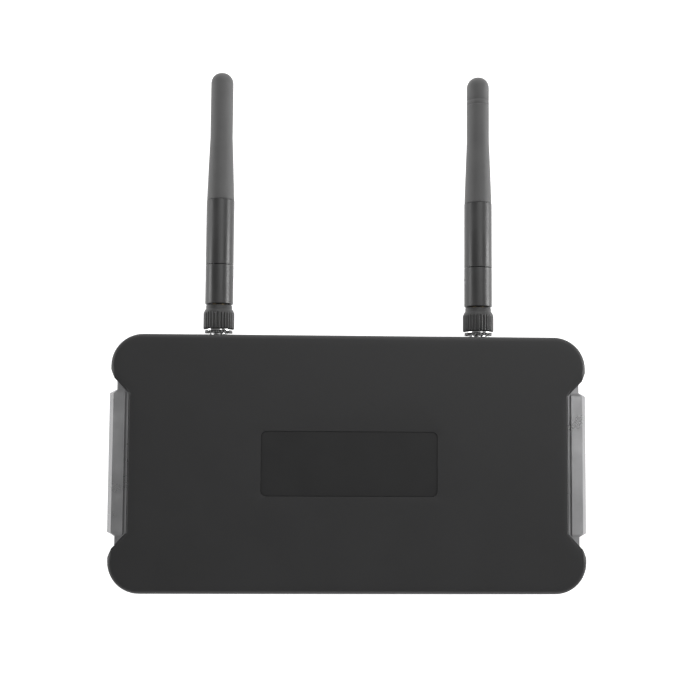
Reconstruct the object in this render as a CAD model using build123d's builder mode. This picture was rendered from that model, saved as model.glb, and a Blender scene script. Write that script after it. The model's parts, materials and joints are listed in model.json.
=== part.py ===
from build123d import *
import os

# Wireless receiver: a flat two-shell case with side panels and two screw-on, folding antennas.
# Origin at the centre of the case on the resting plane; +X right, +Y to the rear, +Z up. Millimetres.

# Case
case_width = 165.0
case_depth = 89.0
case_height = 30.0
foot_height = 2.0
split_z = 16.0
corner_radius = 11.0
edge_radius = 1.5
notch_edge = 0.4
wall = 2.5
floor_thickness = 2.0
fit_gap = 0.1

# Side notches and the panels in them
notch_x = 76.0
notch_flat = 24.0
knee_x, knee_y = 81.0, 29.0
notch_end = 32.6
panel_top = 29.0
tab_spacing = 26.0
tab_width = 6.0
tab_height = 3.8

# Label on the top cover
label_width, label_depth = 61.0, 22.4
label_recess = 0.45
label_thickness = 0.25

# Front and rear panels behind their windows in the case wall
window_width = 130.0
window_low, window_high = 6.0, 26.0
plate_width = 138.0
plate_thickness = 2.0

# Case screws, feet and boards
boss_x, boss_y = 70.0, 34.5
boss_top = 12.0
foot_x, foot_y = 60.0, 30.0
foot_radius = 5.0
foot_seat = 0.5
pillar_radius, pillar_bore, pillar_bore_depth = 3.5, 1.5, 12.0
boss_radius, boss_clearance = 4.5, 1.7
well_radius, well_depth = 3.0, 6.0
rating_width, rating_depth, rating_recess = 64.0, 30.0, 0.3
board_thickness = 1.6
board_z = 7.0
board_half_width = 64.0
board_front, board_back = -28.0, 38.5
standoff_x = 58.0
standoff_y = (-22.0, 30.0)
standoff_radius, standoff_bore = 3.0, 1.0
rib_x = 66.5
rib_size = (3.0, 1.5, 6.0)

# Front controls
front_board_gap = 6.8
front_board_thickness = 1.5
front_board_height = 21.0
front_boss_x = 61.5
front_boss_z = (8.5, 23.5)
display_x = -37.5
display_z = 16.0
display_width, display_height = 39.0, 14.0
key_x = (4.0, 16.0, 28.0, 40.0)
key_z = 12.5
key_width, key_height = 8.0, 5.0
key_proud = 1.2
power_x = 52.0
power_radius = 4.5
lamp_x = (16.0, 28.0, 40.0)
lamp_z = 21.0
lamp_radius = 1.0

# Rear sockets
output_x = 14.0
output_bore = 3.25
output_bore_depth = 31.0
bush_radius = 4.75
bush_recess = 0.3
dc_x = -14.0
dc_z = 15.0
dc_barrel_radius = 4.0
dc_opening = 3.1
dc_depth = 11.0
dc_pin = 1.05
dc_pin_length = 10.0

# Antennas: stations along +Y from the case centre
antenna_x = 46.8
axis_z = 16.0
jack_thread_radius = 3.175
jack_end = 51.0
nut_start = 45.8
nut_end = 54.0
nut_rim_end = 47.2
nut_rim_radius = 5.05
nut_core_radius = 4.3
shroud_radius = 5.52
neck_radius = 4.65
neck_end = 55.9
base_start = 56.2
base_end = 70.3
antenna_radius = 5.0
pivot_y = base_end - antenna_radius
sleeve_gap = 0.3
sleeve_end = 93.9
taper_end = 117.0
tip_radius = 4.05
dome_start = 137.1
tip_end = 141.0
tongue_radius = 4.0
tongue_thickness = 3.8
slot_width = 4.0
hinge_pin_radius = 1.2

half_w, half_d = case_width / 2, case_depth / 2
inner_front = -half_d + wall
inner_back = half_d - wall
cavity_low = foot_height + floor_thickness
cavity_high = case_height - 2.0
board_top = board_z + board_thickness
front_board_y = inner_front + plate_thickness + front_board_gap
boss_places = [(x, y) for x in (-boss_x, boss_x) for y in (-boss_y, boss_y)]
standoff_places = [(x, y) for x in (-standoff_x, standoff_x) for y in standoff_y]
front_boss_places = [(x, z) for x in (-front_boss_x, front_boss_x) for z in front_boss_z]


def finish(piece, name):
    """Labels one finished piece and writes it as its own file."""
    piece.part.label = name
    export_step(piece.part, f"parts/{name}.step")


def facing_back(y):
    """A plane at depth y whose sketches read X across and Z up, extruded towards the front."""
    return Plane.XZ.offset(-y)


def notch_outline(gap=0.0):
    """Corner points of the right-hand notch in plan, drawn larger by the gap."""
    upper = [
        (notch_x - gap, notch_flat + 0.4 * gap), (knee_x - gap, knee_y + 0.4 * gap),
        (half_w + 0.1, notch_end + gap), (half_w + 20, notch_end + gap),
    ]
    return [(x, -y) for x, y in reversed(upper)] + upper


def notch_sketch(gap=0.0):
    """Both notches as faces on the resting plane."""
    with BuildSketch(mode=Mode.PRIVATE) as notches:
        with BuildLine():
            Polyline(*notch_outline(gap), close=True)
        make_face()
        mirror(about=Plane.YZ)
    return notches.sketch


def case_sketch(inset=0.0):
    """Plan of the case without its notches, drawn smaller by the inset."""
    with BuildSketch(mode=Mode.PRIVATE) as plan:
        RectangleRounded(case_width - 2 * inset, case_depth - 2 * inset, corner_radius - inset)
    return plan.sketch


def cavity_sketch():
    """Plan of the space inside the walls, which also follow the notches."""
    with BuildSketch(mode=Mode.PRIVATE) as plan:
        add(case_sketch(wall))
        add(notch_sketch(wall), mode=Mode.SUBTRACT)
    return plan.sketch


def cut_windows(z_low, z_high):
    """The front and rear windows, which are half in each shell."""
    middle = (z_low + z_high) / 2
    for y in (-half_d, half_d):
        with Locations((0, y, middle)):
            Box(window_width, 4 * wall, z_high - z_low, mode=Mode.SUBTRACT)


def cut_tab_slots():
    """Slots at the split line for the side panels' tabs."""
    for x in (-notch_x, notch_x):
        for y in (-tab_spacing / 2, tab_spacing / 2):
            with Locations((x, y, split_z)):
                Box(4 * wall, tab_width + 0.4, tab_height + 2 * fit_gap, mode=Mode.SUBTRACT)


os.makedirs("parts", exist_ok=True)

# Top cover: roof and upper walls, with four screw pillars
with BuildPart() as top_cover:
    with BuildSketch(Plane.XY.offset(split_z)):
        add(case_sketch())
    extrude(amount=case_height - split_z)
    fillet(top_cover.faces().sort_by(Axis.Z)[-1].edges(), edge_radius)
    extrude(notch_sketch(), amount=2 * case_height, mode=Mode.SUBTRACT)
    notch_edges = top_cover.edges().filter_by(Axis.Y).group_by(Axis.Z)[-1]
    chamfer(notch_edges.filter_by(lambda edge: abs(edge.center().X) < notch_x + 0.1), notch_edge)
    with BuildSketch(Plane.XY.offset(split_z)):
        add(cavity_sketch())
    extrude(amount=cavity_high - split_z, mode=Mode.SUBTRACT)
    cut_windows(split_z - 1, window_high)
    cut_tab_slots()
    with BuildSketch(Plane.XY.offset(boss_top)):
        with Locations(*boss_places):
            Circle(pillar_radius)
    extrude(amount=cavity_high - boss_top)
    with BuildSketch(Plane.XY.offset(boss_top)):
        with Locations(*boss_places):
            Circle(pillar_bore)
    extrude(amount=pillar_bore_depth, mode=Mode.SUBTRACT)
    with BuildSketch(Plane.XY.offset(case_height)):
        RectangleRounded(label_width, label_depth, 2)
    extrude(amount=-label_recess, mode=Mode.SUBTRACT)
finish(top_cover, "top_cover")

with BuildPart() as label_plate:
    with BuildSketch(Plane.XY.offset(case_height - label_recess)):
        RectangleRounded(label_width - 0.3, label_depth - 0.3, 1.85)
    extrude(amount=label_thickness)
finish(label_plate, "label_plate")

# Bottom case: floor and lower walls, screw wells, board standoffs, seats for the feet
with BuildPart() as bottom_case:
    with BuildSketch(Plane.XY.offset(foot_height)):
        add(case_sketch())
    extrude(amount=split_z - foot_height)
    fillet(bottom_case.faces().sort_by(Axis.Z)[0].edges(), edge_radius)
    extrude(notch_sketch(), amount=2 * case_height, mode=Mode.SUBTRACT)
    with BuildSketch(Plane.XY.offset(cavity_low)):
        add(cavity_sketch())
    extrude(amount=split_z, mode=Mode.SUBTRACT)
    cut_windows(window_low, split_z + 1)
    cut_tab_slots()
    with BuildSketch(Plane.XY.offset(foot_height + 1)):
        with Locations(*boss_places):
            Circle(boss_radius)
    extrude(amount=boss_top - foot_height - 1)
    with Locations(*[(x, y, boss_top) for x, y in boss_places]):
        Hole(boss_clearance, depth=case_height)
    with BuildSketch(Plane.XY.offset(foot_height)):
        with Locations(*boss_places):
            Circle(well_radius)
    extrude(amount=well_depth, mode=Mode.SUBTRACT)
    with BuildSketch(Plane.XY.offset(cavity_low)):
        with Locations(*standoff_places):
            Circle(standoff_radius)
    extrude(amount=board_z - cavity_low)
    with BuildSketch(Plane.XY.offset(cavity_low - 0.5)):
        with Locations(*standoff_places):
            Circle(standoff_bore)
    extrude(amount=board_z, mode=Mode.SUBTRACT)
    with BuildSketch(Plane.XY.offset(foot_height)):
        with GridLocations(2 * foot_x, 2 * foot_y, 2, 2):
            Circle(foot_radius + fit_gap)
    extrude(amount=foot_seat, mode=Mode.SUBTRACT)
    with BuildSketch(Plane.XY.offset(foot_height)):
        RectangleRounded(rating_width, rating_depth, 2)
    extrude(amount=rating_recess, mode=Mode.SUBTRACT)
    # Ribs that hold the front and rear panels against the walls
    rib_offset = plate_thickness + 0.05 + rib_size[1] / 2
    for rib_y in (inner_front + rib_offset, inner_back - rib_offset):
        with Locations(*[(x, rib_y, cavity_low + rib_size[2] / 2) for x in (-rib_x, rib_x)]):
            Box(*rib_size)
finish(bottom_case, "bottom_case")

with BuildPart() as rubber_feet:
    with BuildSketch():
        with GridLocations(2 * foot_x, 2 * foot_y, 2, 2):
            Circle(foot_radius)
    extrude(amount=foot_height + foot_seat)
    chamfer(rubber_feet.faces().group_by(Axis.Z)[0].edges(), 0.5)
finish(rubber_feet, "rubber_feet")


def screw_group(name, places, plane, head_radius, head_height, shank_radius, shank_length):
    """Cross-head screws as one node: heads rise from the plane, shanks go the other way."""
    with BuildPart() as screws:
        with BuildSketch(plane):
            with Locations(*places):
                Circle(head_radius)
        extrude(amount=head_height)
        with BuildSketch(plane):
            with Locations(*places):
                Circle(shank_radius)
        extrude(amount=-shank_length)
        with BuildSketch(plane.offset(head_height)):
            with Locations(*places):
                Rectangle(head_radius * 1.2, head_radius * 0.3)
                Rectangle(head_radius * 0.3, head_radius * 1.2)
        extrude(amount=-head_height * 0.6, mode=Mode.SUBTRACT)
    finish(screws, name)


well_plane = Plane(origin=(0, 0, foot_height + well_depth), x_dir=(1, 0, 0), z_dir=(0, 0, -1))
screw_group("case_screws", boss_places, well_plane, 2.75, 1.8, 1.48, 14)
screw_group("pcb_screws", standoff_places, Plane.XY.offset(board_top), 2.2, 1.4, 0.98, 4.5)


# Side panels: a faceted band with a raised pad along its middle, held by two T-shaped tabs
def up_and_down(upper):
    """A section's upper points and the same points mirrored about the split line."""
    return upper + [(x, case_height + foot_height - z) for x, z in reversed(upper)]


def section_face(points, y):
    with BuildSketch(facing_back(y), mode=Mode.PRIVATE) as face:
        with BuildLine():
            Polyline(*points, close=True)
        make_face()
    return face.sketch


panel_inner = notch_x + 2 * fit_gap
band_section = up_and_down([(panel_inner, panel_top), (80.2, 27.6), (80.6, 27.0)])
pad_section = up_and_down([(77.2, 28.0), (77.4, 29.0), (81.7, 27.4), (83.4, 25.0)])
buried_section = up_and_down([(77.6, 27.8), (77.8, 28.2), (79.8, 27.5), (80.3, 26.5)])
ramp_length = 1.4
band_half = 30.0
end_gap = 0.15
panel_ends = [
    (panel_inner, notch_flat - end_gap), (knee_x, knee_y - 1.5 * end_gap),
    (knee_x + 9, knee_y - 1.5 * end_gap),
]
for side in ("left", "right"):
    with BuildPart() as side_panel:
        extrude(section_face(band_section, band_half), amount=2 * band_half, dir=(0, -1, 0))
        extrude(section_face(pad_section, notch_flat), amount=2 * notch_flat, dir=(0, -1, 0))
        for end in (-1, 1):
            pad_end = section_face(pad_section, end * notch_flat)
            buried_end = section_face(buried_section, end * (notch_flat + ramp_length))
            loft([pad_end, buried_end], ruled=True)
        with BuildSketch():
            with BuildLine():
                Polyline(*panel_ends, *[(x, -y) for x, y in reversed(panel_ends)], close=True)
            make_face()
        extrude(amount=case_height, mode=Mode.INTERSECT)
        with Locations((notch_x + 1.6, 0, split_z)):
            Box(5, 18, 17, mode=Mode.SUBTRACT)
        for tab_y in (-tab_spacing / 2, tab_spacing / 2):
            with Locations((notch_x - 0.7, tab_y, split_z)):
                Box(5.0, tab_width, tab_height)
            with Locations((notch_x - wall - 0.8, tab_y, split_z)):
                Box(1.4, tab_width, tab_height + 3.2)
        if side == "left":
            mirror(about=Plane.YZ, mode=Mode.REPLACE)
    finish(side_panel, f"side_panel_{side}")

# Front panel with openings for the display, keys, power button and lamps
with BuildPart() as front_panel:
    with BuildSketch(facing_back(inner_front + plate_thickness)):
        with Locations((0, (cavity_low + cavity_high) / 2)):
            Rectangle(plate_width, cavity_high - cavity_low - 0.4)
        with Locations((display_x, display_z)):
            RectangleRounded(display_width + 0.2, display_height + 0.2, 1.1, mode=Mode.SUBTRACT)
        with Locations(*[(x, key_z) for x in key_x]):
            RectangleRounded(key_width + 0.3, key_height + 0.3, 1.1, mode=Mode.SUBTRACT)
        with Locations((power_x, display_z)):
            Circle(power_radius + 0.15, mode=Mode.SUBTRACT)
        with Locations(*[(x, lamp_z) for x in lamp_x]):
            Circle(lamp_radius + 0.03, mode=Mode.SUBTRACT)
    extrude(amount=plate_thickness)
    with BuildSketch(facing_back(front_board_y)):
        with Locations(*front_boss_places):
            Circle(2.3)
    extrude(amount=front_board_gap)
    with BuildSketch(facing_back(front_board_y)):
        with Locations(*front_boss_places):
            Circle(1.0)
    extrude(amount=5.5, mode=Mode.SUBTRACT)
finish(front_panel, "front_panel")

panel_back = inner_front + plate_thickness
with BuildPart() as display_window:
    with BuildSketch(facing_back(panel_back)):
        with Locations((display_x, display_z)):
            RectangleRounded(display_width, display_height, 1)
    extrude(amount=plate_thickness - 0.4)
    with BuildSketch(facing_back(panel_back + 0.8)):
        with Locations((display_x, display_z)):
            RectangleRounded(display_width + 4, display_height + 3, 1)
    extrude(amount=0.8)
finish(display_window, "display_window")

with BuildPart() as display_module:
    with BuildSketch(facing_back(front_board_y)):
        with Locations((display_x, display_z)):
            Rectangle(display_width - 2, display_height + 2)
    extrude(amount=front_board_gap - 1.0)
    with BuildSketch(facing_back(panel_back + 1.0)):
        with Locations((display_x, display_z)):
            Rectangle(display_width - 5, display_height - 3)
    extrude(amount=-0.3, mode=Mode.SUBTRACT)
finish(display_module, "display_module")

with BuildPart() as front_pcb:
    with BuildSketch(facing_back(front_board_y + front_board_thickness)):
        with Locations((0, split_z)):
            Rectangle(2 * board_half_width, front_board_height)
        with Locations(*front_boss_places):
            Circle(1.2, mode=Mode.SUBTRACT)
    extrude(amount=front_board_thickness)
finish(front_pcb, "front_pcb")

front_screw_plane = Plane(
    origin=(0, front_board_y + front_board_thickness, 0), x_dir=(-1, 0, 0), z_dir=(0, 1, 0)
)
screw_group("front_pcb_screws", front_boss_places, front_screw_plane, 2.0, 1.2, 0.98, 6)

# Keys and power button: a cap through the panel, a collar behind it and a stem to its switch
switch_height = 3.5
switch_front = front_board_y - switch_height
plunger_front = switch_front - 0.8
controls = [(f"key_{i + 1}", x, key_z) for i, x in enumerate(key_x)]
controls.append(("power_button", power_x, display_z))
for name, x, z in controls:
    is_power = name == "power_button"
    with BuildPart() as control:
        with BuildSketch(facing_back(panel_back + 0.05)):
            with Locations((x, z)):
                if is_power:
                    Circle(power_radius)
                else:
                    RectangleRounded(key_width, key_height, 1)
        extrude(amount=plate_thickness + key_proud)
        fillet(control.faces().sort_by(Axis.Y)[0].edges(), 0.5)
        with BuildSketch(facing_back(panel_back + 1.05)):
            with Locations((x, z)):
                if is_power:
                    Circle(power_radius + 1)
                else:
                    Rectangle(key_width + 2, key_height + 2)
        extrude(amount=1.0)
        with BuildSketch(facing_back(plunger_front)):
            with Locations((x, z)):
                Circle(1.5)
        extrude(amount=plunger_front - panel_back - 1)
    finish(control, name)
    with BuildPart() as plunger:
        with BuildSketch(facing_back(plunger_front + 1.5)):
            with Locations((x, z)):
                Circle(1.7)
        extrude(amount=1.5)
    finish(plunger, name.replace("_button", "") + "_plunger")

with BuildPart() as tact_switches:
    with BuildSketch(facing_back(front_board_y)):
        with Locations(*[(x, z) for _, x, z in controls]):
            Rectangle(6, 6)
    extrude(amount=switch_height)
    with BuildSketch(facing_back(switch_front)):
        with Locations(*[(x, z) for _, x, z in controls]):
            Circle(1.8)
    extrude(amount=-1.5, mode=Mode.SUBTRACT)
finish(tact_switches, "tact_switches")

with BuildPart() as light_pipes:
    with BuildSketch(facing_back(front_board_y - 0.9)):
        with Locations(*[(x, lamp_z) for x in lamp_x]):
            Circle(lamp_radius)
    extrude(amount=front_board_gap - 0.9 + plate_thickness + 0.3)
finish(light_pipes, "light_pipes")

with BuildPart() as indicator_leds:
    with BuildSketch(facing_back(front_board_y)):
        with Locations(*[(x, lamp_z) for x in lamp_x]):
            Rectangle(1.6, 0.8)
    extrude(amount=0.8)
finish(indicator_leds, "indicator_leds")

# Rear panel with the socket holes
with BuildPart() as rear_panel:
    with BuildSketch(facing_back(inner_back)):
        with Locations((0, (cavity_low + cavity_high) / 2)):
            Rectangle(plate_width, cavity_high - cavity_low - 0.4)
        with Locations((-antenna_x, axis_z), (antenna_x, axis_z)):
            Circle(jack_thread_radius + fit_gap, mode=Mode.SUBTRACT)
        with Locations((output_x, axis_z)):
            Circle(bush_radius + fit_gap, mode=Mode.SUBTRACT)
        with Locations((dc_x, dc_z)):
            Circle(dc_barrel_radius + fit_gap, mode=Mode.SUBTRACT)
    extrude(amount=plate_thickness)
finish(rear_panel, "rear_panel")

# 6.35 mm output jack: body on the board, threaded bush through the panel, contacts beside the bore
panel_inside = inner_back - plate_thickness
with BuildPart() as output_jack:
    with Locations((output_x, panel_inside - 14.5, board_top + 7.4)):
        Box(15, 29, 14.8)
    bush_end = half_d - bush_recess
    with BuildSketch(facing_back(bush_end)):
        with Locations((output_x, axis_z)):
            Circle(bush_radius)
    extrude(amount=bush_end - panel_inside)
    with BuildSketch(facing_back(bush_end)):
        with Locations((output_x, axis_z)):
            Circle(output_bore)
    extrude(amount=output_bore_depth, mode=Mode.SUBTRACT)
    with Locations((output_x, panel_inside - 24, board_top + 13)):
        Box(4, 6, 8, mode=Mode.SUBTRACT)
finish(output_jack, "output_jack")

with BuildPart() as output_jack_contacts:
    with Locations((output_x, panel_inside - 24, axis_z + 5.0)):
        Box(3, 6, 0.6)
finish(output_jack_contacts, "output_jack_contacts")

with BuildPart() as output_jack_nut:
    with BuildSketch(facing_back(inner_back + 2.0)):
        with Locations((output_x, axis_z)):
            RegularPolygon(7.2, 6)
            Circle(bush_radius + 0.05, mode=Mode.SUBTRACT)
    extrude(amount=2.0)
finish(output_jack_nut, "output_jack_nut")

# DC inlet: barrel opening with a centre pin
with BuildPart() as dc_jack:
    with Locations((dc_x, panel_inside - 6, (board_top + dc_z + 5) / 2)):
        Box(9, 12, dc_z + 5 - board_top)
    with BuildSketch(facing_back(inner_back)):
        with Locations((dc_x, dc_z)):
            Circle(dc_barrel_radius)
    extrude(amount=plate_thickness)
    with BuildSketch(facing_back(inner_back)):
        with Locations((dc_x, dc_z)):
            Circle(dc_opening)
    extrude(amount=dc_depth, mode=Mode.SUBTRACT)
    with BuildSketch(facing_back(inner_back - 1)):
        with Locations((dc_x, dc_z)):
            Circle(dc_pin)
    extrude(amount=dc_pin_length)
finish(dc_jack, "dc_jack")

# Main board and what stands on it
with BuildPart() as main_pcb:
    with BuildSketch(Plane.XY.offset(board_z)):
        with Locations((0, (board_front + board_back) / 2)):
            Rectangle(2 * board_half_width, board_back - board_front)
        with Locations(*standoff_places):
            Circle(1.3, mode=Mode.SUBTRACT)
    extrude(amount=board_thickness)
finish(main_pcb, "main_pcb")

shield_places = [(-antenna_x, 16), (antenna_x, 16)]
shield_width, shield_depth, shield_height, shield_wall = 24.0, 22.0, 3.0, 0.3
with BuildPart() as rf_shields:
    with BuildSketch(Plane.XY.offset(board_top)):
        with Locations(*shield_places):
            RectangleRounded(shield_width, shield_depth, 1)
    extrude(amount=shield_height)
    with BuildSketch(Plane.XY.offset(board_top)):
        with Locations(*shield_places):
            RectangleRounded(shield_width - 2 * shield_wall, shield_depth - 2 * shield_wall, 0.7)
    extrude(amount=shield_height - shield_wall, mode=Mode.SUBTRACT)
finish(rf_shields, "rf_shields")

with BuildPart() as audio_chips:
    with BuildSketch(Plane.XY.offset(board_top)):
        with Locations((-14, 2), (-34, -10), (22, -12)):
            Rectangle(10, 10)
    extrude(amount=1.4)
finish(audio_chips, "audio_chips")

with BuildPart() as capacitors:
    with BuildSketch(Plane.XY.offset(board_top)):
        with Locations((-26, 32), (-27, 22), (38, -4), (44, -14)):
            Circle(3.15)
    extrude(amount=8)
finish(capacitors, "capacitors")

# Connectors and the flat cable between the two boards
cable_x = -4.0
cable_z = 12.5
cable_drop_y = -22.5
socket_width, socket_height = 14.0, 2.5
with BuildPart() as board_connectors:
    with Locations((cable_x, front_board_y + front_board_thickness + socket_height / 2, cable_z)):
        Box(socket_width, socket_height, 3)
    with Locations((cable_x, cable_drop_y, board_top + socket_height / 2)):
        Box(socket_width, 3, socket_height)
finish(board_connectors, "board_connectors")

cable_start = front_board_y + front_board_thickness + socket_height
cable_end = board_top + socket_height
bend = cable_z - cable_end
with BuildPart() as ribbon_cable:
    with BuildSketch(Plane.YZ.offset(cable_x - 6)):
        with BuildLine() as route:
            Line((cable_start, cable_z), (cable_drop_y - bend, cable_z))
            RadiusArc((cable_drop_y - bend, cable_z), (cable_drop_y, cable_end), bend)
        trace(line_width=0.5)
    extrude(amount=12)
finish(ribbon_cable, "ribbon_cable")


# Antennas
def turning(points, x):
    """Half profile of a turned solid: each point is a radius and a station along the axis at x."""
    with BuildSketch(Plane.XY.offset(axis_z)) as half:
        with BuildLine():
            Polyline(*[(x + radius, y) for radius, y in points], close=True)
        make_face()
    return half.sketch


for side, x in (("left", -antenna_x), ("right", antenna_x)):
    around_axis = Axis((x, 0, axis_z), (0, 1, 0))

    with BuildPart() as sma_jack:
        profile = turning([
            (0, 36), (jack_thread_radius, 36), (jack_thread_radius, jack_end), (2.1, jack_end),
            (2.1, 46), (0.65, 46), (0.65, 50), (0, 50),
        ], x)
        revolve(profile, axis=around_axis)
        with Locations((x, 35.3, (board_top + axis_z + 3.6) / 2)):
            Box(7.2, 6.2, axis_z + 3.6 - board_top)
    finish(sma_jack, f"sma_jack_{side}")

    with BuildPart() as antenna_plug:
        profile = turning([
            (0.8, 46.6), (2.0, 46.6), (2.0, 51.4), (3.8, 51.4), (3.8, 53.2), (2.5, 53.2), (2.5, 58.6),
            (3.5, 58.6), (3.5, 60.2), (0, 60.2), (0, 50.6), (0.8, 50.6),
        ], x)
        revolve(profile, axis=around_axis)
    finish(antenna_plug, f"antenna_plug_{side}")

    with BuildPart() as antenna_nut:
        profile = turning([
            (3.225, nut_start), (nut_rim_radius, nut_start), (nut_rim_radius, nut_rim_end),
            (nut_core_radius, nut_rim_end), (nut_core_radius, nut_end), (2.6, nut_end), (2.6, 53.4),
            (3.95, 53.4), (3.95, 51.2), (3.225, 51.2),
        ], x)
        revolve(profile, axis=around_axis)
        with BuildSketch(facing_back(nut_rim_end)):
            with Locations((x, axis_z)):
                with PolarLocations(nut_rim_radius + 0.15, 20):
                    Circle(0.45)
        extrude(amount=nut_rim_end - nut_start, mode=Mode.SUBTRACT)
    finish(antenna_nut, f"antenna_nut_{side}")

    with BuildPart() as nut_shroud:
        profile = turning([
            (nut_core_radius + 0.02, 47.3), (shroud_radius, 47.3), (shroud_radius, 53.4),
            (neck_radius + 0.25, 54.3), (neck_radius, 54.4), (neck_radius, neck_end), (2.7, neck_end),
            (2.7, nut_end + 0.05), (nut_core_radius + 0.02, nut_end + 0.05),
        ], x)
        revolve(profile, axis=around_axis)
        with BuildSketch(facing_back(53.0)):
            with Locations((x, axis_z)):
                with PolarLocations(shroud_radius + 0.15, 30):
                    Circle(0.35)
        extrude(amount=53.0 - 47.3, mode=Mode.SUBTRACT)
    finish(nut_shroud, f"nut_shroud_{side}")

    # Swivel base: bearing for the plug, then a fork that is closed above and open below
    with BuildPart() as antenna_base:
        profile = turning([
            (2.55, base_start), (antenna_radius - 0.3, base_start), (antenna_radius, base_start + 0.3),
            (antenna_radius, base_end), (0, base_end), (0, 61.1), (3.7, 61.1), (3.7, 58.4),
            (2.55, 58.4),
        ], x)
        revolve(profile, axis=around_axis)
        with BuildSketch(Plane.YZ.offset(x - antenna_radius)):
            with Locations((pivot_y + antenna_radius / 2, axis_z - antenna_radius / 2)):
                Rectangle(antenna_radius, antenna_radius)
            with Locations((pivot_y, axis_z)):
                Circle(antenna_radius, mode=Mode.SUBTRACT)
        extrude(amount=2 * antenna_radius, mode=Mode.SUBTRACT)
        slot_top = axis_z + tongue_radius + 0.2
        with Locations((x, (61.1 + base_end + 1) / 2, slot_top - 5)):
            Box(slot_width, base_end + 1 - 61.1, 10, mode=Mode.SUBTRACT)
        with BuildSketch(Plane.YZ.offset(x - antenna_radius)):
            with Locations((pivot_y, axis_z)):
                Circle(hinge_pin_radius + 0.02)
        extrude(amount=2 * antenna_radius, mode=Mode.SUBTRACT)
    finish(antenna_base, f"antenna_base_{side}")

    with BuildPart() as hinge_pin:
        with BuildSketch(Plane.YZ.offset(x - antenna_radius + 0.3)):
            with Locations((pivot_y, axis_z)):
                Circle(hinge_pin_radius)
        extrude(amount=2 * antenna_radius - 0.6)
    finish(hinge_pin, f"hinge_pin_{side}")

    sleeve_start = base_end + sleeve_gap
    with BuildPart() as hinge_sleeve:
        profile = turning([
            (0, sleeve_start), (antenna_radius, sleeve_start), (antenna_radius, sleeve_end),
            (3.8, sleeve_end), (3.8, 74), (0, 74),
        ], x)
        revolve(profile, axis=around_axis)
        with BuildSketch(Plane.YZ.offset(x - tongue_thickness / 2)):
            with Locations((pivot_y, axis_z)):
                Circle(tongue_radius)
            with Locations((pivot_y + 3, axis_z)):
                Rectangle(6, 2 * tongue_radius)
            with Locations((pivot_y, axis_z)):
                Circle(hinge_pin_radius + 0.05, mode=Mode.SUBTRACT)
        extrude(amount=tongue_thickness)
    finish(hinge_sleeve, f"hinge_sleeve_{side}")

    whip_start = sleeve_end + 0.05
    with BuildPart() as whip_cover:
        with BuildSketch(Plane.XY.offset(axis_z)):
            with BuildLine():
                Polyline(
                    (x + 2.6, 136), (x + 2.6, 86), (x + 3.75, 86), (x + 3.75, whip_start),
                    (x + antenna_radius - 0.1, whip_start), (x + tip_radius, taper_end),
                    (x + tip_radius, dome_start),
                )
                Spline(
                    (x + tip_radius, dome_start), (x + 0.72 * tip_radius, tip_end - 1.2), (x, tip_end),
                    tangents=[(0, 1), (-1, 0)],
                )
                Polyline((x, tip_end), (x, 136), (x + 2.6, 136))
            make_face()
        revolve(axis=around_axis)
        if side == "right":
            for ring_y in (130.6, 132.3):
                with BuildSketch(Plane.XY.offset(axis_z)):
                    with Locations((x + tip_radius, ring_y)):
                        Rectangle(0.3, 0.3)
                revolve(axis=around_axis, mode=Mode.SUBTRACT)
    finish(whip_cover, f"whip_cover_{side}")

    with BuildPart() as antenna_radiator:
        profile = turning([
            (0, 75), (2.3, 75), (2.3, 100), (0.75, 100), (0.75, 128), (0, 128),
        ], x)
        revolve(profile, axis=around_axis)
    finish(antenna_radiator, f"antenna_radiator_{side}")
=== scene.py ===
import json
import math

import bmesh
import bpy
from mathutils import Matrix, Vector


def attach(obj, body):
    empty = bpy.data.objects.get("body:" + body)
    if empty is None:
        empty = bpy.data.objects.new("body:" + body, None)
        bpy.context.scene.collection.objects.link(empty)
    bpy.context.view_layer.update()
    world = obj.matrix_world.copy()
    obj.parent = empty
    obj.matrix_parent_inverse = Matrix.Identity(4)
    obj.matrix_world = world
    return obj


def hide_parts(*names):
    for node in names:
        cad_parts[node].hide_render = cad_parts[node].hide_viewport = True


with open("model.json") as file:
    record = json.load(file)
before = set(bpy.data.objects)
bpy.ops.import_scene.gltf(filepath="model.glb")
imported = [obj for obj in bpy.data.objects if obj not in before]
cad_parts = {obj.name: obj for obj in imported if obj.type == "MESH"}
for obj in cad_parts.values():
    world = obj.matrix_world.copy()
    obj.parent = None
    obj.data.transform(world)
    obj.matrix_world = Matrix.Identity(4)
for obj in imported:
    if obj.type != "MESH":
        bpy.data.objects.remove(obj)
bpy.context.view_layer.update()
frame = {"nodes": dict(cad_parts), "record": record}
nodes = frame["nodes"]

# Shapes are in millimetres, in the CAD part's frame. Light, camera and texture sizes are in metres.
MM = 0.001
SIDES = (("left", -46.8), ("right", 46.8))
AXIS_Z = 16.0

# Grey of the room from the floor's level up to straight overhead.
SKY = ((0.0, 0.8), (0.3, 0.55), (0.55, 0.22), (0.8, 0.14), (1.0, 0.14))


# ---------------------------------------------------------------- camera, floor and light

def add_object(name, data):
    """A new object of this scene."""
    thing = bpy.data.objects.new(name, data)
    bpy.context.scene.collection.objects.link(thing)
    return thing


def make_camera():
    """Looks almost straight down on the case, as in the photograph."""
    place = (-0.0127, 0.0152, 0.3964)
    pitch, yaw, roll = 0.0656, -0.0350, 0.0091
    data = bpy.data.cameras.new("camera")
    data.sensor_width = 36
    data.lens = 54.45
    data.clip_start = 0.01
    turn = Matrix.Rotation(roll, 4, "Z") @ Matrix.Rotation(pitch, 4, "X") @ Matrix.Rotation(yaw, 4, "Y")
    camera = add_object("camera", data)
    camera.matrix_world = Matrix.Translation(place) @ turn
    bpy.context.scene.camera = camera


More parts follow.
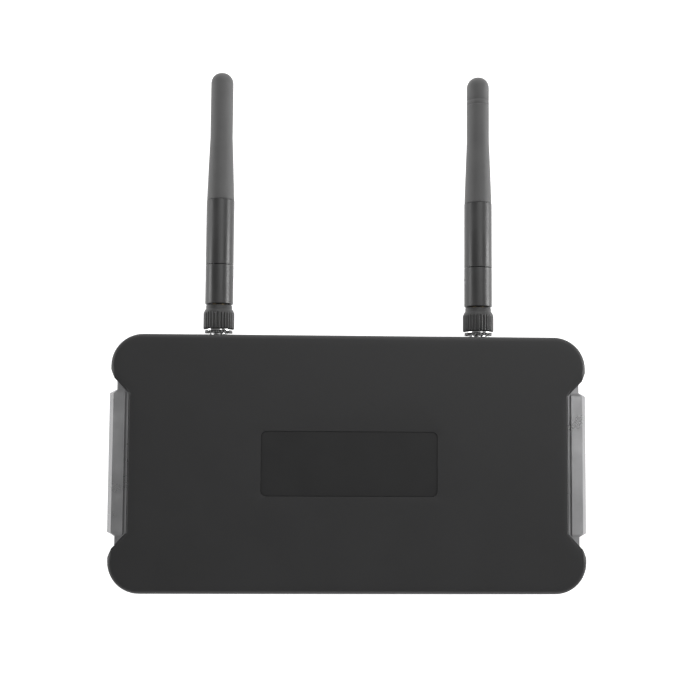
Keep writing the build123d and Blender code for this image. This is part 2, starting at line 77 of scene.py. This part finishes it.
def make_floor():
    """A wide white floor that glows a little, so that it stays white in the picture."""
    half = 30.0
    corners = [(-half, -half, 0), (half, -half, 0), (half, half, 0), (-half, half, 0)]
    mesh = bpy.data.meshes.new("floor")
    mesh.from_pydata(corners, [], [(0, 1, 2, 3)])
    floor = add_object("floor", mesh)
    material, _, shader = new_material("floor_white")
    shader.inputs["Base Color"].default_value = (0.93, 0.93, 0.93, 1)
    shader.inputs["Roughness"].default_value = 0.9
    shader.inputs["Specular IOR Level"].default_value = 0.1
    shader.inputs["Emission Color"].default_value = (1, 1, 1, 1)
    shader.inputs["Emission Strength"].default_value = 0.8
    mesh.materials.append(material)


def area_light(name, place, target, size_x, size_y, power):
    """A soft box at a place, turned towards a target."""
    data = bpy.data.lights.new(name, "AREA")
    data.shape = "RECTANGLE"
    data.size = size_x
    data.size_y = size_y
    data.energy = power
    light = add_object(name, data)
    light.location = place
    light.rotation_mode = "QUATERNION"
    light.rotation_quaternion = (Vector(target) - Vector(place)).to_track_quat("-Z", "Y")


def make_sky():
    """A room that is bright near the horizon and dark overhead."""
    world = bpy.data.worlds.new("studio")
    bpy.context.scene.world = world
    world.use_nodes = True
    tree = world.node_tree
    direction = tree.nodes.new("ShaderNodeTexCoord").outputs["Generated"]
    split = tree.nodes.new("ShaderNodeSeparateXYZ")
    tree.links.new(direction, split.inputs["Vector"])
    sky = tree.nodes.new("ShaderNodeValToRGB")
    ends = sky.color_ramp.elements
    for end, (position, grey) in zip(ends, (SKY[0], SKY[-1])):
        end.position = position
        end.color = (grey, grey, grey, 1)
    for position, grey in SKY[1:-1]:
        ends.new(position).color = (grey, grey, grey, 1)
    tree.links.new(split.outputs["Z"], sky.inputs["Fac"])
    background = tree.nodes["Background"]
    tree.links.new(sky.outputs["Color"], background.inputs["Color"])
    background.inputs["Strength"].default_value = 1.0


def make_light():
    """Soft boxes to the right, left, rear, front and top, in a room lit from its horizon."""
    make_sky()
    area_light("box_right", (0.95, 0.1, 0.22), (0.04, 0.02, 0.02), 0.4, 0.4, 5.6)
    area_light("box_left", (-0.95, 0.05, 0.22), (-0.03, 0.03, 0.02), 0.4, 0.4, 3.0)
    area_light("box_back", (0.1, 0.95, 0.4), (0.0, 0.04, 0.02), 0.8, 0.8, 3.0)
    area_light("box_front", (0.1, -0.95, 0.4), (0.0, -0.04, 0.02), 0.6, 0.6, 3.0)
    area_light("box_top", (0.16, 0.42, 0.95), (0.0, 0.04, 0.02), 0.8, 0.4, 2.9)
    bpy.context.scene.view_settings.view_transform = "Standard"


# ---------------------------------------------------------------- materials

MATERIALS = {}


def new_material(name):
    """A material with its node tree and its shader."""
    material = bpy.data.materials.new(name)
    material.use_nodes = True
    tree = material.node_tree
    return material, tree, tree.nodes["Principled BSDF"]


def noise(tree, coordinates, scale, detail, roughness=0.6, stretch=(1, 1, 1)):
    """A noise texture whose features are about one unit over scale across, stretched along an axis."""
    mapping = tree.nodes.new("ShaderNodeMapping")
    mapping.inputs["Scale"].default_value = stretch
    texture = tree.nodes.new("ShaderNodeTexNoise")
    texture.inputs["Scale"].default_value = scale
    texture.inputs["Detail"].default_value = detail
    texture.inputs["Roughness"].default_value = roughness
    tree.links.new(coordinates, mapping.inputs["Vector"])
    tree.links.new(mapping.outputs["Vector"], texture.inputs["Vector"])
    return texture.outputs["Fac"]


def value_range(tree, factor, low, high, start=0.35, end=0.65):
    """A value that goes from low to high while the factor goes from start to end."""
    node = tree.nodes.new("ShaderNodeMapRange")
    for socket, value in (("From Min", start), ("From Max", end), ("To Min", low), ("To Max", high)):
        node.inputs[socket].default_value = value
    tree.links.new(factor, node.inputs["Value"])
    return node.outputs["Result"]


def color_range(tree, factor, low, high, start=0.35, end=0.65):
    """A colour that goes from low to high while the factor goes from start to end."""
    node = tree.nodes.new("ShaderNodeValToRGB")
    for element, position, color in zip(node.color_ramp.elements, (start, end), (low, high)):
        element.position = position
        element.color = (*color, 1)
    tree.links.new(factor, node.inputs["Fac"])
    return node.outputs["Color"]


def bump(tree, height, distance, strength):
    """A normal roughened by a height."""
    node = tree.nodes.new("ShaderNodeBump")
    node.inputs["Distance"].default_value = distance
    node.inputs["Strength"].default_value = strength
    tree.links.new(height, node.inputs["Height"])
    return node.outputs["Normal"]


def flecked(tree, coordinates, tint, color, grain, flecks):
    """The tint with lighter flecks, a little finer than the grain."""
    speck = noise(tree, coordinates, 1 / (grain * 0.6), 1.0, 0.4)
    light = [min(1.0, c * (1 + 5 * flecks)) for c in color]
    mix = tree.nodes.new("ShaderNodeMix")
    mix.data_type = "RGBA"
    mix.inputs["B"].default_value = (*light, 1)
    tree.links.new(value_range(tree, speck, 0.0, 1.0, 0.62, 0.72), mix.inputs["Factor"])
    tree.links.new(tint, mix.inputs["A"])
    return mix.outputs["Result"]


def surface(name, color, rough, spread=0.12, grain=0.0004, depth=0.00002, strength=0.35, metal=0.0,
            specular=0.5, coat=0.0, sheen=0.0, rough_spread=0.06, stretch=(1, 1, 1), flecks=0.0):
    """A moulded, painted or plated surface: grain size and depth in metres, mottled colour and gloss."""
    mottle = 45 * grain
    material, tree, shader = new_material(name)
    coordinates = tree.nodes.new("ShaderNodeTexCoord").outputs["Object"]
    fine = noise(tree, coordinates, 1 / grain, 2.0, 0.55, stretch)
    broad = noise(tree, coordinates, 1 / mottle, 4.0)
    low = [c * (1 - spread) for c in color]
    high = [c * (1 + spread) for c in color]
    tint = color_range(tree, broad, low, high)
    if flecks:
        tint = flecked(tree, coordinates, tint, color, grain, flecks)
    gloss = value_range(tree, broad, rough - rough_spread, rough + rough_spread)
    tree.links.new(tint, shader.inputs["Base Color"])
    tree.links.new(gloss, shader.inputs["Roughness"])
    shader.inputs["Metallic"].default_value = metal
    shader.inputs["Specular IOR Level"].default_value = specular
    shader.inputs["Coat Weight"].default_value = coat
    shader.inputs["Sheen Weight"].default_value = sheen
    tree.links.new(bump(tree, fine, depth, strength), shader.inputs["Normal"])
    MATERIALS[name] = material


def clear_plastic(name, color, rough=0.05):
    """A clear moulding with a little haze."""
    material, tree, shader = new_material(name)
    coordinates = tree.nodes.new("ShaderNodeTexCoord").outputs["Object"]
    soft = noise(tree, coordinates, 900, 2.0)
    haze = value_range(tree, soft, rough, rough + 0.06)
    tint = color_range(tree, soft, [c * 0.9 for c in color], color)
    tree.links.new(haze, shader.inputs["Roughness"])
    tree.links.new(tint, shader.inputs["Base Color"])
    shader.inputs["Transmission Weight"].default_value = 0.6
    shader.inputs["IOR"].default_value = 1.49
    MATERIALS[name] = material


def make_case_materials():
    """What the outside of the case is made of."""
    surface("case_black", (0.0165, 0.0165, 0.017), 0.55, spread=0.05, grain=0.0005, depth=0.00004,
            strength=0.5, rough_spread=0.02, flecks=0.05)
    surface("label_black", (0.012, 0.012, 0.0123), 0.5, spread=0.06, grain=0.0003, depth=0.00001,
            strength=0.2, rough_spread=0.02, specular=0.42)
    surface("panel_silver", (0.26, 0.26, 0.264), 0.3, spread=0.06, metal=0.75, grain=0.00022,
            depth=0.00001, strength=0.2, rough_spread=0.03)
    surface("fascia_black", (0.022, 0.022, 0.0225), 0.5, grain=0.0003)
    surface("window_tint", (0.006, 0.006, 0.007), 0.07, rough_spread=0.03, coat=0.6, strength=0.03)
    surface("rubber_black", (0.022, 0.022, 0.022), 0.85, depth=0.00005)
    surface("screw_black", (0.03, 0.03, 0.031), 0.4, metal=0.7)
    surface("key_grey", (0.085, 0.085, 0.088), 0.5, grain=0.00025, depth=0.00001)


def make_inner_materials():
    """What the boards, the display and the sockets are made of."""
    surface("display_dark", (0.02, 0.03, 0.024), 0.2)
    surface("steel", (0.55, 0.55, 0.56), 0.3, metal=1.0, stretch=(1, 6, 1))
    surface("board_green", (0.012, 0.09, 0.04), 0.35, coat=0.3)
    surface("component_black", (0.016, 0.016, 0.016), 0.5)
    clear_plastic("light_pipe_clear", (0.82, 0.88, 0.88))
    surface("connector_white", (0.68, 0.66, 0.6), 0.5)
    surface("ribbon_grey", (0.42, 0.42, 0.43), 0.55, stretch=(6, 1, 1))
    surface("shield_tin", (0.6, 0.6, 0.59), 0.35, metal=1.0)
    surface("capacitor_can", (0.6, 0.6, 0.61), 0.3, metal=1.0)


def make_antenna_materials():
    """What the antennas and their jacks are made of."""
    surface("brass", (0.35, 0.26, 0.13), 0.35, metal=1.0)
    surface("nickel", (0.6, 0.59, 0.56), 0.24, metal=1.0, grain=0.0003, depth=0.00001)
    surface("chrome", (0.82, 0.82, 0.82), 0.14, metal=1.0, grain=0.0003, depth=0.000005, strength=0.15)
    surface("nickel_dark", (0.09, 0.09, 0.09), 0.38, metal=1.0, grain=0.0003, depth=0.00001)
    surface("shroud_black", (0.032, 0.032, 0.032), 0.45, grain=0.0003)
    surface("antenna_plastic", (0.04, 0.04, 0.04), 0.36)
    surface("antenna_rubber", (0.085, 0.085, 0.085), 0.6, grain=0.0003, depth=0.00003, sheen=0.1)


def dress_cad():
    """Gives each CAD node the procedural material of its slot in the record."""
    for entry in frame["record"]["subparts"]:
        piece = nodes[entry["node"]]
        piece.data.materials.clear()
        piece.data.materials.append(MATERIALS[entry["material_slot"]])


# ---------------------------------------------------------------- shapes

def add_piece(name, shape, body, node, slot, sharp=35, materials=None):
    """Adds a piece, of vertices in millimetres and faces, that rides on a body and replaces a CAD node."""
    vertices, faces = shape
    mesh = bpy.data.meshes.new(name)
    mesh.from_pydata([[c * MM for c in v] for v in vertices], [], faces)
    working = bmesh.new()
    working.from_mesh(mesh)
    bmesh.ops.recalc_face_normals(working, faces=working.faces)
    working.to_mesh(mesh)
    working.free()
    mesh.shade_smooth()
    mesh.set_sharp_from_angle(angle=math.radians(sharp))
    for material in materials or [slot]:
        mesh.materials.append(MATERIALS[material])
    piece = add_object(name, mesh)
    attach(piece, body)
    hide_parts(node)
    return piece


def ring(x, y, radius_at, segments):
    """A ring of points about the antenna axis at x; radius_at gives the radius for a share of a turn."""
    points = []
    for i in range(segments):
        turn = i / segments
        angle = 2 * math.pi * turn
        radius = radius_at(turn)
        points.append((x + radius * math.cos(angle), y, AXIS_Z + radius * math.sin(angle)))
    return points


def bands(rows, segments, closed):
    """The faces between rings that follow one another; closed joins the last ring to the first."""
    faces = []
    for row in range(rows if closed else rows - 1):
        a, b = row * segments, (row + 1) % rows * segments
        for i in range(segments):
            j = (i + 1) % segments
            faces.append((a + i, a + j, b + j, b + i))
    return faces


def turned(x, stations, segments=96, ridges=0):
    """A hollow turned solid about the antenna axis: stations are radius, depth of the ridges, and y."""
    vertices = []
    for radius, depth, y in stations:
        def radius_at(turn):
            groove = 1 - abs(math.cos(ridges * math.pi * turn))
            return radius - depth * groove
        vertices += ring(x, y, radius_at, segments)
    return vertices, bands(len(stations), segments, True)


def rod(x, stations, segments):
    """A turned solid with flat ends: stations are radius and y."""
    vertices = []
    for radius, y in stations:
        vertices += ring(x, y, lambda turn: radius, segments)
    faces = bands(len(stations), segments, False)
    last = (len(stations) - 1) * segments
    faces.append(tuple(range(segments)))
    faces.append(tuple(range(last, last + segments)))
    return vertices, faces


def threaded_tube(x, major, depth, pitch, start, end, bore):
    """A tube with a right-handed outer thread that fades in and out over half a pitch."""
    segments, rows_per_pitch = 72, 8
    rows = int((end - start) / pitch * rows_per_pitch)
    vertices = []
    for row in range(rows + 1):
        y = start + (end - start) * row / rows
        fade = min(1.0, (y - start) / pitch * 2, (end - y) / pitch * 2)

        def radius_at(turn):
            phase = (y / pitch + turn) % 1
            crest = min(1.0, 1.35 * abs(2 * phase - 1))
            return major - depth + depth * crest * fade
        vertices += ring(x, y, radius_at, segments)
    for y in (end, start):
        vertices += ring(x, y, lambda turn: bore, segments)
    return vertices, bands(rows + 3, segments, True)


def block(x0, x1, y0, y1, z0, z1):
    """The corners and faces of a box."""
    corners = [(x, y, z) for x in (x0, x1) for y in (y0, y1) for z in (z0, z1)]
    quads = [(0, 1, 3, 2), (4, 6, 7, 5), (0, 4, 5, 1), (2, 3, 7, 6), (0, 2, 6, 4), (1, 5, 7, 3)]
    return corners, quads


def joined(*shapes):
    """Several shapes as one."""
    vertices, faces = [], []
    for more, polygons in shapes:
        faces += [tuple(len(vertices) + i for i in polygon) for polygon in polygons]
        vertices += more
    return vertices, faces


# ---------------------------------------------------------------- antennas

def make_jack(side, x):
    """The fixed threaded socket, with its body on the board and its centre contact."""
    pitch = 25.4 / 36
    root_y, tip_y = 38.4, 51.0
    contact = [(0.05, root_y), (0.6, root_y), (0.6, 49.8), (0.3, 50.0), (0.05, 50.0)]
    tube = threaded_tube(x, 3.175, 0.36, pitch, root_y, tip_y, 2.1)
    pin = rod(x, contact, 24)
    half = 3.6
    body = block(x - half, x + half, 32.2, root_y, 8.6, AXIS_Z + half)
    add_piece(f"jack_{side}", joined(tube, pin, body), "root", f"sma_jack_{side}", "nickel",
              materials=["chrome"])


def make_nut(side, x):
    """The coupling nut: a toothed dark rim, a bright collar and the core inside the grip."""
    rim_end, face_radius = 46.61, 4.2
    stations = [
        (3.225, 0, 45.8), (4.55, 0, 45.8), (4.95, 0.28, 45.95), (4.95, 0.28, 46.5), (4.6, 0, 46.6),
        (4.9, 0, 46.64), (5.05, 0, 46.74), (5.05, 0, 47.1), (4.95, 0, 47.2), (4.3, 0, 47.22), (4.3, 0, 54.0),
        (2.6, 0, 54.0), (2.6, 0, 53.4), (3.95, 0, 53.4), (3.95, 0, 51.2), (3.225, 0, 51.2),
    ]
    nut = add_piece(f"nut_{side}", turned(x, stations, 240, 24), f"{side}_nut", f"antenna_nut_{side}",
                    "nickel", materials=["chrome", "nickel_dark"])
    for polygon in nut.data.polygons:
        centre = polygon.center
        radius = (centre - Vector((x * MM, centre.y, AXIS_Z * MM))).length
        if centre.y < rim_end * MM and radius > face_radius * MM:
            polygon.material_index = 1


def make_grip(side, x):
    """The ridged plastic grip over the nut, with a chamfer down to a smooth neck."""
    stations = [
        (4.32, 0, 47.3), (5.25, 0.12, 47.3), (5.45, 0.26, 47.45), (5.52, 0.34, 47.8), (5.52, 0.34, 52.6),
        (5.5, 0.26, 53.0), (5.42, 0.06, 53.25), (5.34, 0, 53.42), (4.98, 0, 54.22), (4.78, 0, 54.38),
        (4.66, 0, 54.55), (4.65, 0, 55.7), (4.5, 0, 55.9), (2.7, 0, 55.9), (2.7, 0, 54.05), (4.32, 0, 54.05),
    ]
    add_piece(f"grip_{side}", turned(x, stations, 360, 30), f"{side}_nut", f"nut_shroud_{side}",
              "shroud_black", 50)


def make_whip(side, x):
    """The soft antenna cover: a taper with a slight belly, a straight length and a rounded end."""
    foot_radius, rod_radius, belly = 4.88, 4.05, 0.03
    taper_start, taper_end = 94.6, 117.0
    dome_start, dome_length = 137.1, 3.9
    stations = [(3.7, 0, 86.0), (3.7, 0, 93.95), (4.72, 0, 93.95), (foot_radius, 0, 94.1),
                (foot_radius, 0, taper_start)]
    taper_steps = 14
    for step in range(1, taper_steps + 1):
        share = step / taper_steps
        radius = foot_radius + (rod_radius - foot_radius) * share + belly * math.sin(math.pi * share)
        stations.append((radius, 0, taper_start + (taper_end - taper_start) * share))
    stations += [(rod_radius, 0, 120.0), (rod_radius, 0, 130.0)]
    if side == "right":
        groove_radius = 3.93
        for groove in (130.6, 132.3):
            stations += [(rod_radius, 0, groove - 0.22), (groove_radius, 0, groove - 0.1),
                         (groove_radius, 0, groove + 0.1), (rod_radius, 0, groove + 0.22)]
    dome_steps = 16
    for step in range(dome_steps):
        angle = math.pi / 2 * step / dome_steps
        bulge = abs(math.cos(angle)) ** 0.85
        stations.append((rod_radius * bulge, 0, dome_start + dome_length * math.sin(angle)))
    stations += [(0.05, 0, dome_start + dome_length), (0.04, 0, 136.0), (2.6, 0, 136.0), (2.6, 0, 86.0)]
    add_piece(f"whip_{side}", turned(x, stations), f"{side}_whip", f"whip_cover_{side}",
              "antenna_rubber", 60)


# ---------------------------------------------------------------- case

def soften(node, width):
    """Rounds the sharp edges of a shown CAD node."""
    piece = nodes[node]
    weld = piece.modifiers.new("weld", "WELD")
    weld.merge_threshold = 0.005 * MM
    rounding = piece.modifiers.new("rounding", "BEVEL")
    rounding.width = width * MM
    rounding.segments = 2
    rounding.limit_method = "ANGLE"
    rounding.angle_limit = math.radians(40)
    rounding.harden_normals = True
    normals = piece.modifiers.new("normals", "WEIGHTED_NORMAL")
    normals.keep_sharp = True


# A quarter of the cover's plan, from its centre: the half sizes, the corner radius and the side notch.
HALF_WIDTH, HALF_DEPTH, CORNER = 82.5, 44.5, 11.0
TOP_Z = 30.0
NOTCH = ((76.0, 0.0), (76.0, 24.0), (81.0, 29.0), (82.6, 32.6))


def outline_distance(x, y):
    """Distance in millimetres from a point on the cover to the nearest edge of its plan."""
    px, py = abs(x), abs(y)
    cx, cy = px - (HALF_WIDTH - CORNER), py - (HALF_DEPTH - CORNER)
    if cx > 0 and cy > 0:
        near = CORNER - math.hypot(cx, cy)
    else:
        near = min(HALF_WIDTH - px, HALF_DEPTH - py)
    for (ax, ay), (bx, by) in zip(NOTCH, NOTCH[1:]):
        share = ((px - ax) * (bx - ax) + (py - ay) * (by - ay)) / ((bx - ax) ** 2 + (by - ay) ** 2)
        share = max(0.0, min(1.0, share))
        near = min(near, math.hypot(px - ax - share * (bx - ax), py - ay - share * (by - ay)))
    return max(0.0, near)


def cover_edges():
    """Places on a quarter of the cover's outline, each with its direction into the cover."""
    (notch_x, _), notch_corner, notch_end = NOTCH[:3]
    edges = [((0, HALF_DEPTH), (0, -1)), ((HALF_WIDTH, 0), (-1, 0)), ((notch_x, 0), (-1, 0))]
    for degrees in (22.5, 45.0, 67.5):
        angle = math.radians(degrees)
        c, s = math.cos(angle), math.sin(angle)
        place = (HALF_WIDTH - CORNER + CORNER * c, HALF_DEPTH - CORNER + CORNER * s)
        edges.append((place, (-c, -s)))
    for place, (dx, dy) in ((notch_corner, (-1, 1)), (notch_end, (-0.914, 0.406))):
        length = math.hypot(dx, dy)
        edges.append((place, (dx / length, dy / length)))
    return edges


def score_top(shape, place, inward, signs):
    """Cuts the cover's top face along lines beside one edge, so that it can bend there."""
    sx, sy = signs
    normal = Vector((sx * inward[0], sy * inward[1], 0))
    for depth in (1.9, 2.4, 3.0, 3.6):
        point = Vector((sx * (place[0] + inward[0] * depth), sy * (place[1] + inward[1] * depth), 0)) * MM
        top = [f for f in shape.faces if min(v.co.z for v in f.verts) > (TOP_Z - 0.01) * MM]
        around = set(top) | {e for f in top for e in f.edges} | {v for f in top for v in f.verts}
        bmesh.ops.bisect_plane(shape, geom=list(around), plane_co=point, plane_no=normal,
                               dist=0.0005 * MM)


def make_cover():
    """The top cover with its upper face falling away a little towards every edge."""
    reach, drop = 3.6, 0.15
    rim_z = 28.45
    mesh = nodes["top_cover"].data.copy()
    shape = bmesh.new()
    shape.from_mesh(mesh)
    bmesh.ops.remove_doubles(shape, verts=shape.verts, dist=0.002 * MM)
    for place, inward in cover_edges():
        for sx in (-1, 1):
            for sy in (-1, 1):
                if (place[0] == 0 and sx < 0) or (place[1] == 0 and sy < 0):
                    continue
                score_top(shape, place, inward, (sx, sy))
    bmesh.ops.triangulate(shape, faces=[f for f in shape.faces if len(f.verts) > 4])
    for vertex in shape.verts:
        if vertex.co.z > rim_z * MM:
            near = outline_distance(vertex.co.x / MM, vertex.co.y / MM)
            if near < reach:
                vertex.co.z -= drop * (1 - near / reach) ** 2 * MM
    shape.to_mesh(mesh)
    shape.free()
    mesh.materials.clear()
    mesh.materials.append(MATERIALS["case_black"])
    mesh.shade_smooth()
    mesh.set_sharp_from_angle(angle=math.radians(30))
    cover = add_object("cover", mesh)
    normals = cover.modifiers.new("normals", "WEIGHTED_NORMAL")
    normals.weight = 80
    normals.keep_sharp = True
    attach(cover, "root")
    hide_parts("top_cover")


# Widths of the rounded edges of the other CAD nodes that show.
EDGES = {
    "bottom_case": 0.15,
    "front_panel": 0.2,
    "rear_panel": 0.15,
    "label_plate": 0.06,
    "rubber_feet": 0.2,
    "output_jack_nut": 0.2,
    "display_window": 0.12,
}

make_camera()
make_floor()
make_light()
make_case_materials()
make_inner_materials()
make_antenna_materials()
dress_cad()
make_cover()
for side, x in SIDES:
    make_jack(side, x)
    make_nut(side, x)
    make_grip(side, x)
    make_whip(side, x)
    soften(f"side_panel_{side}", 0.2)
    soften(f"antenna_base_{side}", 0.18)
    soften(f"hinge_sleeve_{side}", 0.22)
for node, width in EDGES.items():
    soften(node, width)
